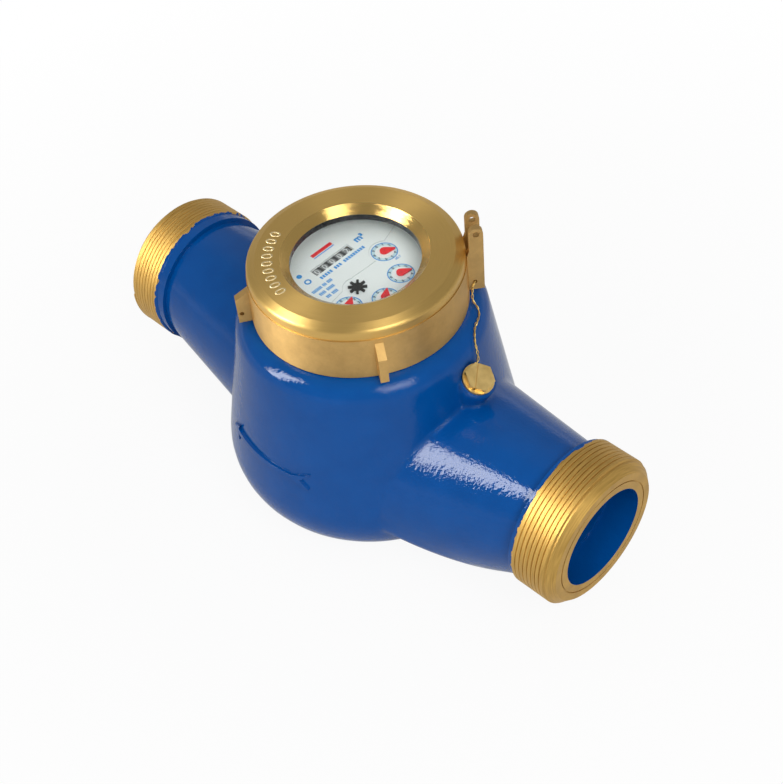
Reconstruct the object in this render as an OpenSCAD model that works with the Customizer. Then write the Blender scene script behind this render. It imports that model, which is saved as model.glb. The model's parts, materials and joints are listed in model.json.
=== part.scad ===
// Multi-jet water meter: a cast brass body with two threaded pipe ends, a brass head ring over a
// sealed dry dial, and the measuring chamber, magnetic coupling and counting train inside.
// +X runs along the pipe towards the inlet end, +Z is up, and z = 0 is the flat bottom of the bowl.

/* [Pipe ends] */
// Overall length between the two end faces
body_len = 300; // [280:1:340]
// Height of the pipe axis above the flat bottom
axis_h = 56; // [54:0.5:60]
// Outside radius of the pipe thread
thread_r = 37.59; // [36.5:0.01:39]
// Length of the inlet spigot
inlet_spigot_len = 25; // [22:0.5:30]
// Length of the outlet spigot with its collar
outlet_spigot_len = 29; // [26:0.5:32]
// Radius of the flat sealing face at each end
face_r = 34.2; // [33:0.1:35]
// Radius of the thin groove turned in the sealing face
face_groove_r = 30; // [28.5:0.1:31.5]
// Radius of the bore at each end face
bore_r = 25.8; // [24:0.1:27]
// Depth of the bore up to its step
bore_depth = 16; // [12:0.5:20]
// Radius of the throat behind the step
throat_r = 23.5; // [21:0.1:23.7]

/* [Bowl] */
// Largest radius of the bowl
bowl_r = 75.5; // [73:0.5:79]
// Radius of the round edge around the bottom
bottom_round = 32; // [28:0.5:36]
// Draft angle of the bowl's wall
bowl_draft = 10.5; // [9:0.5:12]
// Height of the flat shoulder under the head ring
shoulder_z = 115.5; // [114:0.5:118]
// Radius of the round edge of the shoulder
shoulder_round = 11; // [8:0.5:12]
// Thickness of the casting
wall = 6; // [5:0.5:8]
// Height of the partition's lower face
partition_z = 44; // [42:0.5:46]
// Thickness of the partition between inlet and outlet
partition_t = 7; // [5:0.5:9]
// Outer radius of the neck that carries the head ring
neck_r = 49.6; // [49.2:0.1:49.8]
// Bore of the neck above the ledge
neck_bore_r = 46.4; // [46.2:0.1:46.8]
// Radius of the opening below the ledge
throat_opening_r = 43.6; // [43.4:0.1:44.5]
// Raised height of the cast flow arrow
arrow_h = 1.3; // [0.8:0.1:2]
// Length of the cast flow arrow
arrow_len = 57; // [45:1:65]

/* [Pipe legs] */
// Radius of the inlet leg where it leaves the spigot
inlet_leg_end_r = 34; // [32:0.5:34.5]
// Radius of the inlet leg inside the bowl
inlet_leg_root_r = 53.8; // [50:0.5:56]
// Drop of the inlet leg's axis inside the bowl
inlet_leg_drop = 23.5; // [18:0.5:26]
// Radius of the inlet leg's flattened underside
inlet_belly_r = 62; // [58:1:75]
// Radius of the outlet leg where it leaves the spigot
outlet_leg_end_r = 35; // [33:0.5:36.5]
// Radius of the outlet leg inside the bowl
outlet_leg_root_r = 47.3; // [44:0.5:50]
// Drop of the outlet leg's axis inside the bowl
outlet_leg_drop = 8.5; // [4:0.5:12]

/* [Head ring] */
// Outer radius of the ring at its lower edge
ring_r = 52.6; // [52.3:0.1:54]
// Height of the ring
ring_h = 29.6; // [29.4:0.1:31]
// Outer radius of the machined top flat
ring_flat_r = 47.1; // [45:0.1:48]
// Inner radius of the machined top flat
ring_bevel_r = 35.5; // [34:0.1:37]
// Radius of the lens opening
lens_opening_r = 31.2; // [30:0.1:32]
// Depth of the bevel around the lens opening
ring_bevel_h = 3.6; // [3:0.1:4.5]
// Thickness of the ring's inward lip
lip_t = 7; // [6:0.1:7.4]
// Direction of the lid hinge around the ring
hinge_angle = 51; // [40:1:60]
// Distance from the ring's axis to the hinge hole
hinge_r = 56.2; // [55.5:0.1:58]
// Radius of the hinge hole
hinge_hole_r = 1.6; // [1.2:0.1:2]
// Clear gap between the two hinge ears
ear_gap = 7.8; // [6:0.1:9]
// Thickness of each hinge ear
ear_t = 3; // [2.5:0.1:4]
// Height of the hinge hole above the ring's top flat
ear_rise = 6.4; // [5:0.1:8]
// Direction of the first seal lug around the ring
lug_angle = -34; // [-40:1:-28]
// Width of a seal lug
lug_w = 4; // [3:0.1:6]
// Distance from the ring's axis to a lug's outer face
lug_r = 59; // [58:0.1:60]
// Radius of a seal hole
seal_hole_r = 1.1; // [0.9:0.1:1.3]

/* [Regulator] */
// Distance of the regulator boss from the ring's axis, along the pipe
boss_x = 67.5; // [66:0.5:70]
// Sideways offset of the regulator boss
boss_y = 8; // [4:0.5:10]
// Height of the boss's sealing face above the pipe axis
boss_z = 42; // [40:0.5:44]
// Lean of the boss towards the inlet end
boss_lean = 27; // [22:1:32]
// Radius of the boss
boss_r = 9.3; // [8.6:0.1:11]
// Across-flats size of the hexagon plug
plug_af = 13; // [12:0.5:14]
// Height of the plug's hexagon
plug_hex_h = 2.6; // [2.4:0.1:4]
// Radius of the plug's round flange
plug_flange_r = 7.9; // [7.6:0.1:8.4]
// Radius of the plug's threaded shank
plug_shank_r = 5; // [4.5:0.1:5.4]
// Length of the plug's threaded shank
plug_shank_len = 8; // [6:0.5:9]

/* [Register] */
// Wall of the register case
case_wall = 2; // [1.5:0.1:2.4]
// Thickness of the lens
lens_t = 5; // [4:0.1:6]
// Depth of the dial face below the case's rim
dial_depth = 2.6; // [2.3:0.1:2.9]
// Thickness of the dial plate
dial_t = 0.8; // [0.7:0.1:1]
// Length of the counter window
window_len = 24.7; // [24.5:0.1:26]
// Width of the counter window
window_w = 4.8; // [4.4:0.1:5.4]
// Distance of the counter window from the middle of the dial
window_r = 17.4; // [17:0.1:17.8]
// Distance of the pointers from the middle of the dial
pointer_ring_r = 20.6; // [20.4:0.1:21]
// Angle between neighbouring pointers
pointer_step = 50.8; // [50.4:0.1:51.4]
// Direction of the slowest pointer
first_pointer_angle = 96; // [95:0.5:97]
// Length of a pointer from its axis to its tip
pointer_len = 5.6; // [4:0.1:5.8]
// Distance of the star wheel from the middle of the dial
star_r = 8; // [7.8:0.1:8.3]
// Direction of the star wheel
star_angle = -45; // [-47:0.2:-43]
// Outer radius of the star
star_tip_r = 4.6; // [4:0.1:5]
// Radius of a number drum
drum_r = 5.3; // [5:0.1:5.4]

/* [Measuring chamber] */
// Outer radius of the chamber cup
cup_r = 37.5; // [36.5:0.1:38]
// Wall of the chamber cup
cup_wall = 2.5; // [2:0.1:3]
// Number of jets around the cup
jet_count = 12; // [8:1:16]
// Number of impeller blades
blade_count = 8; // [6:1:10]
// Thickness of an impeller blade
blade_t = 1.6; // [1.2:0.1:2.4]
// Radius of the impeller shaft
shaft_r = 2; // [1.8:0.1:2.4]

/* [Seal wire] */
// Diameter of the twisted seal wire
wire_d = 1.2; // [1:0.1:1.4]

/* [Hidden] */
$fn = 96;
// Clearance of a turning fit, on the radius
running = 0.05;
// Clearance between pieces that are put together by hand
loose = 0.3;
// Overlap that keeps cuts and unions clean
eps = 0.5;

// Heights of the stack under the head ring, from the top down
slip_t = 0.8;
gasket_t = 1.2;
flange_t = 1.7;
ring_seat_gap = 0.5;
ring_z = shoulder_z + ring_seat_gap;
ring_top_z = ring_z + ring_h;
lip_z = ring_top_z - lip_t;
lens_top_z = lip_z - slip_t;
lens_z = lens_top_z - lens_t;
case_rim_z = lens_z - gasket_t;
flange_z = case_rim_z - flange_t;
neck_top_z = flange_z - loose;
dial_z = case_rim_z - dial_depth;
dial_under_z = dial_z - dial_t;

// Levels of the counting train, all below the dial
gear_t = 1;
level_gap = 0.4;
drum_drop = 0.5;
drum_axis_z = dial_z - drum_drop - drum_r;
drum_low_z = drum_axis_z - drum_r;
level_1 = dial_under_z - 0.7 - gear_t;
level_2 = level_1 - 0.5 - gear_t;
bridge_t = 0.8;
bridge_z = level_2 - 0.5 - bridge_t;
level_3 = bridge_z - 0.3 - gear_t;
level_4 = level_3 - 1 - gear_t;
level_6 = drum_low_z - 0.5 - gear_t;
level_5 = level_6 - level_gap - gear_t;
plate_t = 1.5;
plate_z = level_5 - level_gap - plate_t;
magnet_t = 2.2;
follower_z = plate_z - 0.3 - magnet_t;
case_floor_z = follower_z - 0.3;
case_floor_t = 1.5;
case_z = case_floor_z - case_floor_t;
cover_t = 6;
ledge_z = case_z - cover_t;

// Register case and plates
case_r = neck_bore_r - 0.4;
case_bore_r = case_r - case_wall;
ledge_w = 2;
plate_r = case_bore_r - 0.4;
flange_r = neck_r - 0.3;
lens_r = flange_r - 2.5;
pillar_r = 1.5;
pillar_ring_r = plate_r - pillar_r - 0.3;
pillar_angles = [20, 140, 260];
arbor_r = 0.75;
pin_end = 0.4;

// Places of the wheels, in the plane of the dial
function at(r, a) = [r * cos(a), r * sin(a)];
function pointer_at(i) = at(pointer_ring_r, first_pointer_angle - (i - 1) * pointer_step);
function heading(a, b) = atan2(b[1] - a[1], b[0] - a[0]);
star_at = at(star_r, star_angle);
middle = [0, 0];

// Teeth of the train: each pair shares one module that fills its centre distance
coupling_teeth = 8;
star_teeth = 24;
pinion_teeth = 6;
wheel_teeth = 60;
transfer_teeth = 40;
coupling_m = 2 * star_r / (coupling_teeth + star_teeth);
star_m = 2 * norm(pointer_at(4) - star_at) / (pinion_teeth + wheel_teeth);
decade_m = 2 * norm(pointer_at(2) - pointer_at(1)) / (pinion_teeth + wheel_teeth);

// Counter: drums on an axle along Y, with carry pinions between them
drum_count = 5;
drum_pitch = window_len / drum_count;
drum_gear_t = 0.7;
drum_gear_gap = 0.1;
carry_tooth_t = 0.4;
carry_tooth_gap = 0.3;
drum_w = drum_pitch - drum_gear_t - drum_gear_gap - carry_tooth_t - carry_tooth_gap;
drum_axle_r = 1;
drum_teeth = 20;
carry_teeth = 8;
carry_m = 0.45;
carry_lean = -20;
carry_distance = carry_m * (drum_teeth + carry_teeth) / 2;
carry_x = -window_r + carry_distance * cos(carry_lean);
carry_z = drum_axis_z + carry_distance * sin(carry_lean);
carry_axle_r = 0.6;
worm_teeth = 20;
worm_starts = 2;
worm_m = 0.4;
worm_r = 1.6;
worm_distance = worm_m * worm_teeth / 2 + worm_r;
worm_wheel_t = 1;
worm_y = window_len / 2 + 0.4 + worm_wheel_t / 2;
worm_at = [-window_r - worm_distance, worm_y];
transfer_m = norm(worm_at - pointer_at(1)) / transfer_teeth;
cheek_t = 1.2;
cheek_gap = 0.4;
cheek_high_y = worm_y + worm_wheel_t / 2 + cheek_gap;
cheek_low_y = -window_len / 2 - cheek_gap - cheek_t;
axle_len = cheek_high_y + cheek_t - cheek_low_y;

// Measuring chamber, from the bowl's floor up
seal_t = 1;
cup_z = wall + 6;
cup_floor_t = 3;
cup_seat_z = partition_z + partition_t;
cup_flange_t = 3;
cup_flange_r = throat_opening_r - 0.4;
partition_r = cup_flange_r - 2;
cup_top_z = cup_seat_z + 35;
strainer_r = partition_r - 1;
strainer_wall = 1;
strainer_top_z = partition_z - 0.5;
cover_plate_t = 5;
bush_r = 5;
pocket_r = 11;
pocket_h = 4.5;
cup_bore_r = cup_r - cup_wall;
blade_r = cup_bore_r - 1.5;
blade_z = cup_z + cup_floor_t + 4;
blade_h = 36;
hub_r = 6;
pin_r = 1.5;
pin_top_z = blade_z + 8;
drive_magnet_r = pocket_r - 2;
drive_magnet_h = 5;
drive_magnet_z = ledge_z + pocket_h - 1 - drive_magnet_h;
shaft_top_z = drive_magnet_z + drive_magnet_h;

// Legs and water ways: the legs' axes drop towards the bowl
half_len = body_len / 2;
leg_x = half_len - inlet_spigot_len;
leg_root_x = 45;
bore_end_x = half_len - bore_depth;
duct_x = 58;
duct_end_x = bore_end_x - 4;
duct_end_r = throat_r - 1.5;
inlet_duct_r = 13.5;
inlet_duct_z = partition_z - inlet_duct_r - 2;
outlet_duct_r = 16;
outlet_duct_z = partition_z + partition_t + outlet_duct_r + 3;

// Points of an arc in a profile, from angle a to angle b
function arc(c, r, a, b, n = 12) =
  [for (i = [0 : n]) let (t = a + (b - a) * i / n) c + r * [cos(t), sin(t)]];

// A ring of rectangular section standing on height z
module ring(r_out, r_in, z, h) {
  translate([0, 0, z])
    difference() {
      cylinder(r = r_out, h = h);
      translate([0, 0, -eps])
        cylinder(r = r_in, h = h + 2 * eps);
    }
}

// A straight round bar between two points in the plane of the pipe axis, with a radius at each end
module round_bar(x0, z0, r0, x1, z1, r1) {
  translate([x0, 0, z0])
    rotate([0, atan2(x1 - x0, z1 - z0), 0])
      cylinder(h = norm([x1 - x0, z1 - z0]), r1 = r0, r2 = r1);
}

// Toothed outline with thin trapezoid teeth, one of them pointing along +X
function gear_points(n, m, high, deep, root_w, tip_w) =
  [for (i = [0 : n - 1], k = [0 : 3])
    let (w = [-root_w, -tip_w, tip_w, root_w][k], r = m * n / 2 + m * [-deep, high, high, -deep][k])
      at(r, (i + w) * 360 / n)];

module wheel_outline(n, m) {
  polygon(gear_points(n, m, 0.8, 1.15, 0.28, 0.1));
}

module pinion_outline(n, m) {
  polygon(gear_points(n, m, 0.85, 1.1, 0.22, 0.07));
}

// Turn that brings a tooth gap of wheel b onto the tooth of pinion a that points along +X
function mesh_turn(a, b, na, nb) = heading(a, b) + 180 - 180 / nb + heading(a, b) * na / nb;

module bowl_solid(grow) {
  r = bowl_r + grow;
  round_r = bottom_round + grow;
  edge_r = shoulder_round + grow;
  c = [r - round_r, bottom_round];
  wall_foot = c + round_r * [cos(bowl_draft), sin(bowl_draft)];
  edge_z = shoulder_z - shoulder_round;
  edge_foot_z = edge_z + edge_r * sin(bowl_draft);
  edge_foot_r = wall_foot[0] - (edge_foot_z - wall_foot[1]) * tan(bowl_draft);
  edge_c = [edge_foot_r - edge_r * cos(bowl_draft), edge_z];
  rotate_extrude()
    polygon(concat([[0, -grow]], arc(c, round_r, -90, bowl_draft), arc(edge_c, edge_r, bowl_draft, 90, 8),
      [[0, shoulder_z + grow]]));
}

module bowl_cavity() {
  c = [bowl_r - bottom_round, bottom_round];
  upper_r = bowl_r - wall - 3.5;
  upper_top_r = upper_r - (ledge_z - 10 - cup_seat_z) * tan(bowl_draft);
  rotate_extrude()
    polygon(concat([[0, wall]], arc(c, bottom_round - wall, -90, 0),
      [[bowl_r - wall - 1, partition_z], [partition_r, partition_z], [partition_r, cup_seat_z],
       [upper_r, cup_seat_z], [upper_top_r, ledge_z - 10], [throat_opening_r, ledge_z - 4],
       [throat_opening_r, ledge_z], [neck_bore_r, ledge_z], [neck_bore_r, neck_top_z + eps],
       [0, neck_top_z + eps]]));
}

// The pipe end: threaded spigot with a turned face, a shallow groove in it and a chamfered edge
module spigot(l) {
  chamfer = thread_r - face_r;
  translate([half_len - l, 0, axis_h])
    rotate([0, 90, 0])
      rotate_extrude()
        polygon([[0, 0], [thread_r, 0], [thread_r, l - chamfer], [face_r, l], [0, l]]);
}

module end_bore() {
  groove_w = 0.6;
  groove_h = 0.5;
  translate([bore_end_x, 0, axis_h])
    rotate([0, 90, 0]) {
      cylinder(r = bore_r, h = bore_depth + eps);
      translate([0, 0, -10])
        cylinder(r = throat_r, h = 10 + eps);
      translate([0, 0, bore_depth - groove_h])
        difference() {
          cylinder(r = face_groove_r + groove_w / 2, h = groove_h + eps);
          translate([0, 0, -eps])
            cylinder(r = face_groove_r - groove_w / 2, h = groove_h + 3 * eps);
        }
    }
}

// A leg reaches a little way into its spigot, so that its leaning end is buried there
module leg(end_r, root_r, drop) {
  reach = 15;
  run = leg_x - leg_root_x;
  round_bar(leg_x + reach, axis_h + drop * reach / run, end_r - (root_r - end_r) * reach / run,
    leg_root_x, axis_h - drop, root_r);
}

// The inlet leg's underside is flatter than its sides: a wide trough trims it to a line that rises from
// the bowl's bottom to the spigot
module inlet_leg() {
  low_z = 0.3;
  rise = 19;
  run = leg_x - leg_root_x;
  trough_z = low_z + inlet_belly_r / cos(atan2(rise, run));
  intersection() {
    leg(inlet_leg_end_r, inlet_leg_root_r, inlet_leg_drop);
    round_bar(leg_x + run, trough_z + 2 * rise, inlet_belly_r,
      leg_root_x - run, trough_z - rise, inlet_belly_r);
  }
}

// The boss leans towards the inlet end, and its own +Z runs out through the plug
module on_boss() {
  translate([boss_x, boss_y, axis_h + boss_z])
    rotate([0, boss_lean, 0])
      children();
}

module flow_arrow() {
  half_w = 4.4;
  shaft_w = 1.4;
  head = 7;
  tail = 10;
  notch = 5;
  l = arrow_len / 2;
  intersection() {
    bowl_solid(arrow_h);
    translate([-3.5, -bowl_r / 2, axis_h + 2])
      rotate([90, 0, 0])
        linear_extrude(bowl_r)
          polygon([[-l, 0], [-l + head, half_w], [-l + head - 1, shaft_w], [l - tail, shaft_w], [l, half_w],
            [l - notch, 0], [l, -half_w], [l - tail, -shaft_w], [-l + head - 1, -shaft_w],
            [-l + head, -half_w]]);
  }
}

screw_bore_r = 4.3;
spot_face_gap = 0.8;
boss_bore_len = 30;
module body() {
  color("royalblue")
    difference() {
      union() {
        bowl_solid(0);
        translate([0, 0, shoulder_z - eps])
          cylinder(r = neck_r, h = neck_top_z - shoulder_z + eps);
        inlet_leg();
        mirror([1, 0, 0])
          leg(outlet_leg_end_r, outlet_leg_root_r, outlet_leg_drop);
        spigot(inlet_spigot_len);
        mirror([1, 0, 0])
          spigot(outlet_spigot_len);
        on_boss()
          translate([0, 0, -26])
            cylinder(r = boss_r, h = 26);
        flow_arrow();
      }
      bowl_cavity();
      end_bore();
      mirror([1, 0, 0])
        end_bore();
      round_bar(duct_end_x, axis_h, duct_end_r, duct_x, inlet_duct_z, inlet_duct_r);
      round_bar(-duct_end_x, axis_h, duct_end_r, -duct_x, outlet_duct_z, outlet_duct_r);
      on_boss() {
        translate([0, 0, -plug_shank_len - 1])
          cylinder(r = plug_shank_r + running, h = plug_shank_len + 1 + eps);
        translate([0, 0, -boss_bore_len])
          cylinder(r = screw_bore_r, h = boss_bore_len);
        cylinder(r = plug_flange_r + spot_face_gap, h = 2 * boss_r);
      }
    }
}

// Rib on the ring's wall with a sloped top and a hole for a seal wire
module seal_lug(angle) {
  foot = 1.5;
  top = 20;
  slope = 4.5;
  hole_z = 7;
  hole_r = lug_r - 2;
  low_in = neck_r + 1.5;
  rotate([0, 0, angle])
    translate([0, lug_w / 2, ring_z])
      rotate([90, 0, 0])
        difference() {
          linear_extrude(lug_w)
            polygon([[low_in, foot], [lug_r, foot], [lug_r, top - slope], [ring_r - 0.5, top],
              [low_in, top]]);
          translate([hole_r, hole_z, -eps])
            cylinder(r = seal_hole_r, h = lug_w + 2 * eps);
        }
}

// Hinge ear: an upright plate along the ring's radius, round at the top
module hinge_ear(side) {
  ear_round = 3.4;
  foot = 2;
  seal_hole_at = [hinge_r - 1.2, 6.8];
  low_in = neck_r + 1.5;
  hole_h = ring_h + ear_rise;
  rotate([0, 0, hinge_angle])
    translate([0, side * (ear_gap + ear_t) / 2 + ear_t / 2, ring_z])
      rotate([90, 0, 0])
        difference() {
          union() {
            linear_extrude(ear_t)
              polygon([[low_in, foot], [hinge_r + ear_round, foot], [hinge_r + ear_round, hole_h],
                [hinge_r - ear_round, hole_h], [hinge_r - ear_round, ring_h - 3], [low_in, ring_h - 8]]);
            translate([hinge_r, hole_h, 0])
              cylinder(r = ear_round, h = ear_t);
          }
          translate([hinge_r, hole_h, -eps])
            cylinder(r = hinge_hole_r, h = ear_t + 2 * eps);
          translate([seal_hole_at[0], seal_hole_at[1], -eps])
            cylinder(r = seal_hole_r, h = ear_t + 2 * eps);
        }
}

module head_ring() {
  step_h = ring_h - 7;
  step_r = ring_r - 0.5;
  turned_r = step_r - 0.5;
  edge_r = 2;
  edge_c = [turned_r - edge_r, ring_h - 1.3 - edge_r];
  bore = neck_r + loose;
  color("darkgoldenrod") {
    translate([0, 0, ring_z])
      rotate_extrude()
        polygon(concat([[bore, 0], [ring_r, 0], [step_r, step_h], [turned_r, step_h]],
          arc(edge_c, edge_r, 0, 70, 6),
          [[ring_flat_r, ring_h], [ring_bevel_r, ring_h], [lens_opening_r, ring_h - ring_bevel_h], [lens_opening_r, ring_h - lip_t],
           [bore, ring_h - lip_t]]));
    for (i = [0 : 2])
      seal_lug(lug_angle - 90 * i);
    for (side = [-1, 1])
      hinge_ear(side);
  }
}

module slip_ring() {
  color("white")
    ring(flange_r - 1, lens_opening_r + 2, lip_z - slip_t, slip_t);
}

module glass_lens() {
  bevel = 0.6;
  color("lightcyan", 0.4)
    translate([0, 0, lens_z])
      rotate_extrude()
        polygon([[0, 0], [lens_r - bevel, 0], [lens_r, bevel], [lens_r, lens_t - bevel],
          [lens_r - bevel, lens_t], [0, lens_t]]);
}

module lens_gasket() {
  color("dimgray")
    ring(lens_r, case_bore_r, case_rim_z, gasket_t);
}

module register_case() {
  color("gainsboro")
    rotate_extrude()
      polygon([[0, case_z], [case_r, case_z], [case_r, flange_z], [flange_r, flange_z],
        [flange_r, case_rim_z], [case_bore_r, case_rim_z], [case_bore_r, plate_z],
        [case_bore_r - ledge_w, plate_z], [case_bore_r - ledge_w, case_floor_z], [0, case_floor_z]]);
}

module on_pillars() {
  for (a = pillar_angles)
    rotate([0, 0, a])
      translate([pillar_ring_r, 0, 0])
        children();
}

module through_dial(place, r) {
  translate([place[0], place[1], dial_under_z - eps])
    cylinder(r = r, h = dial_t + 2 * eps);
}

// A blind bearing hole in the dial's underside
module under_dial(place, r) {
  translate([place[0], place[1], dial_under_z - eps])
    cylinder(r = r, h = eps + pin_end);
}

screw_r = 0.8;
module dial_plate() {
  color("whitesmoke")
    difference() {
      translate([0, 0, dial_under_z])
        cylinder(r = plate_r, h = dial_t);
      translate([-window_r - window_w / 2, -window_len / 2, dial_under_z - eps])
        cube([window_w, window_len, dial_t + 2 * eps]);
      for (i = [1 : 4])
        through_dial(pointer_at(i), arbor_r + running);
      through_dial(star_at, arbor_r + running);
      under_dial(middle, arbor_r + running);
      under_dial(worm_at, arbor_r + running);
      on_pillars()
        translate([0, 0, dial_under_z - eps])
          cylinder(r = screw_r + running, h = dial_t + 2 * eps);
    }
}

screw_len = 4;
module dial_screws() {
  head_r = 1.4;
  head_h = 0.6;
  slot_w = 0.35;
  color("silver")
    on_pillars()
      difference() {
        union() {
          translate([0, 0, dial_z - screw_len])
            cylinder(r = screw_r, h = screw_len + head_h / 2);
          translate([0, 0, dial_z])
            cylinder(r = head_r, h = head_h);
        }
        translate([-slot_w / 2, -2 * head_r, dial_z + head_h / 2])
          cube([slot_w, 4 * head_r, head_h]);
      }
}

bridge_pillar_at = [-2, -15];
bridge_w = 4;
module movement_plate() {
  color("lightgray")
    difference() {
      union() {
        translate([0, 0, plate_z])
          cylinder(r = plate_r, h = plate_t);
        on_pillars()
          translate([0, 0, plate_z])
            cylinder(r = pillar_r, h = dial_under_z - plate_z);
        translate([bridge_pillar_at[0], bridge_pillar_at[1], plate_z])
          cylinder(r = bridge_w / 2, h = bridge_z - plate_z);
      }
      for (place = concat([middle, worm_at], [for (i = [1 : 4]) pointer_at(i)]))
        translate([place[0], place[1], plate_z - eps])
          cylinder(r = arbor_r + running, h = plate_t + 2 * eps);
      on_pillars()
        translate([0, 0, dial_z - screw_len - 0.2])
          cylinder(r = screw_r + running, h = screw_len);
    }
}

// Arm that carries the lower end of the star wheel's arbor
module star_bridge() {
  reach = norm(star_at - bridge_pillar_at);
  color("lightgray")
    difference() {
      translate([bridge_pillar_at[0], bridge_pillar_at[1], bridge_z])
        rotate([0, 0, heading(bridge_pillar_at, star_at)]) {
          cylinder(r = bridge_w / 2, h = bridge_t);
          translate([0, -bridge_w / 2, 0])
            cube([reach, bridge_w, bridge_t]);
          translate([reach, 0, 0])
            cylinder(r = bridge_w / 2, h = bridge_t);
        }
      translate([star_at[0], star_at[1], bridge_z - eps])
        cylinder(r = arbor_r + running, h = bridge_t + 2 * eps);
    }
}

// Round bar along Y through a place in the X-Z plane
module along_y(x, z, y, r, l) {
  translate([x, y, z])
    rotate([-90, 0, 0])
      cylinder(r = r, h = l);
}

// Bracket under the dial: two cheeks for the counter's axles, joined by a bar beside the drums
module counter_bracket() {
  bar = 1.5;
  bar_x = -window_r + drum_r + 1.2;
  low_x = -window_r - 2.4;
  low_z = carry_z - 1.6;
  color("lightgray")
    difference() {
      union() {
        for (y = [cheek_low_y, cheek_high_y])
          translate([low_x, y, low_z])
            cube([bar_x + bar - low_x, cheek_t, dial_under_z - low_z]);
        translate([bar_x, cheek_low_y, dial_under_z - bar])
          cube([bar, axle_len, bar]);
      }
      along_y(-window_r, drum_axis_z, cheek_low_y - eps, drum_axle_r + running / 2, axle_len + 2 * eps);
      along_y(carry_x, carry_z, cheek_low_y - eps, carry_axle_r + running / 2, axle_len + 2 * eps);
    }
}

module drum_axle() {
  color("silver")
    along_y(-window_r, drum_axis_z, cheek_low_y, drum_axle_r, axle_len);
}

module pinion_axle() {
  color("silver")
    along_y(carry_x, carry_z, cheek_low_y, carry_axle_r, axle_len);
}

// Turns an outline drawn in X-Y into the plane across the counter's axle, at distance y along it
module across_axle(x, z, y, t) {
  translate([x, y, z])
    rotate([-90, 0, 0])
      linear_extrude(t)
        children();
}

// Number drum: a rim, a side gear that its own carry pinion turns, and a pair of carry teeth on the
// other side. The fastest drum has the worm wheel instead of the side gear.
module drum(i) {
  high_y = window_len / 2 - (i - 1) * drum_pitch;
  rim_y = high_y - drum_gear_t - drum_gear_gap - drum_w;
  gear_y = rim_y + drum_w;
  color("black")
    difference() {
      union() {
        along_y(-window_r, drum_axis_z, rim_y, drum_r, drum_w);
        if (i == 1) {
          along_y(-window_r, drum_axis_z, gear_y, 2.4, worm_y - worm_wheel_t / 2 - gear_y);
          across_axle(-window_r, drum_axis_z, worm_y - worm_wheel_t / 2, worm_wheel_t)
            rotate(180 + 180 / worm_teeth)
              polygon(gear_points(worm_teeth, worm_m, 0.7, 1.15, 0.25, 0.09));
        }
        else {
          across_axle(-window_r, drum_axis_z, gear_y, drum_gear_t)
            rotate(-carry_lean + 180 / drum_teeth)
              wheel_outline(drum_teeth, carry_m);
        }
        if (i < drum_count)
          across_axle(-window_r, drum_axis_z, rim_y - carry_tooth_t, carry_tooth_t)
            rotate(180)
              intersection() {
                wheel_outline(drum_teeth, carry_m);
                translate([2, -1])
                  square([4, 2]);
              }
      }
      along_y(-window_r, drum_axis_z, rim_y - drum_pitch, drum_axle_r + running, 3 * drum_pitch);
    }
}

// Carry pinion i sits between drum i and drum i + 1, in reach of the teeth of both
module carry_pinion(i) {
  side_gap = 0.2;
  high_y = window_len / 2 - i * drum_pitch;
  y = high_y - drum_gear_t - drum_gear_gap + side_gap;
  w = drum_gear_t + drum_gear_gap + carry_tooth_t + carry_tooth_gap - 2 * side_gap;
  color("ivory")
    difference() {
      across_axle(carry_x, carry_z, y, w)
        rotate(180 - carry_lean)
          pinion_outline(carry_teeth, carry_m);
      along_y(carry_x, carry_z, y - eps, carry_axle_r + running, w + 2 * eps);
    }
}

module gear_at(place, z, turn) {
  translate([place[0], place[1], z])
    rotate([0, 0, turn])
      linear_extrude(gear_t)
        children();
}

module arbor_shaft(place, z0, z1) {
  translate([place[0], place[1], z0])
    cylinder(r = arbor_r, h = z1 - z0);
}

hand_gap = 0.3;
hand_t = 0.8;
hand_z = dial_z + hand_gap;
// Arbor i carries the wheel that the next faster arbor drives, and the pinion for the next slower one
wheel_level = [level_5, level_4, level_3, level_2];
module pointer_arbor(i) {
  here = pointer_at(i);
  driver = i == 4 ? star_at : pointer_at(i + 1);
  m = i == 4 ? star_m : decade_m;
  turn = mesh_turn(driver, here, pinion_teeth, wheel_teeth);
  color("ivory") {
    arbor_shaft(here, plate_z, hand_z + hand_t - 0.1);
    gear_at(here, wheel_level[i - 1], turn)
      wheel_outline(wheel_teeth, m);
    if (i > 1)
      gear_at(here, wheel_level[i - 2], 0)
        pinion_outline(pinion_teeth, decade_m);
    else
      gear_at(here, level_6, 0)
        wheel_outline(transfer_teeth, transfer_m);
  }
}

// Tear-shaped hand pressed onto its arbor, turned to the reading that the dial shows
hand_turns = [61, 64, 127, 120];
module pointer_hand(i) {
  here = pointer_at(i);
  hub_r = 2.2;
  tip_r = 0.3;
  reach = pointer_len - tip_r;
  lean = acos((hub_r - tip_r) / reach);
  color("crimson")
    translate([here[0], here[1], hand_z])
      rotate([0, 0, hand_turns[i - 1]])
        difference() {
          linear_extrude(hand_t)
            polygon(concat(arc([0, 0], hub_r, lean, 360 - lean, 24), arc([reach, 0], tip_r, -lean, lean, 6)));
          translate([0, 0, -eps])
            cylinder(r = arbor_r + running / 5, h = hand_t + 2 * eps);
        }
}

// Flow indicator: a star above the dial on the arbor that the coupling drives
module star_wheel() {
  points = 8;
  star_h = 0.9;
  color("black") {
    arbor_shaft(star_at, bridge_z, hand_z + star_h);
    gear_at(star_at, level_1, mesh_turn(middle, star_at, coupling_teeth, star_teeth))
      wheel_outline(star_teeth, coupling_m);
    gear_at(star_at, level_2, 0)
      pinion_outline(pinion_teeth, star_m);
    translate([star_at[0], star_at[1], hand_z])
      linear_extrude(star_h)
        polygon(gear_points(points, 2 * star_tip_r / (points + 2), 1, 1.3, 0.3, 0.16));
  }
}

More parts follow.
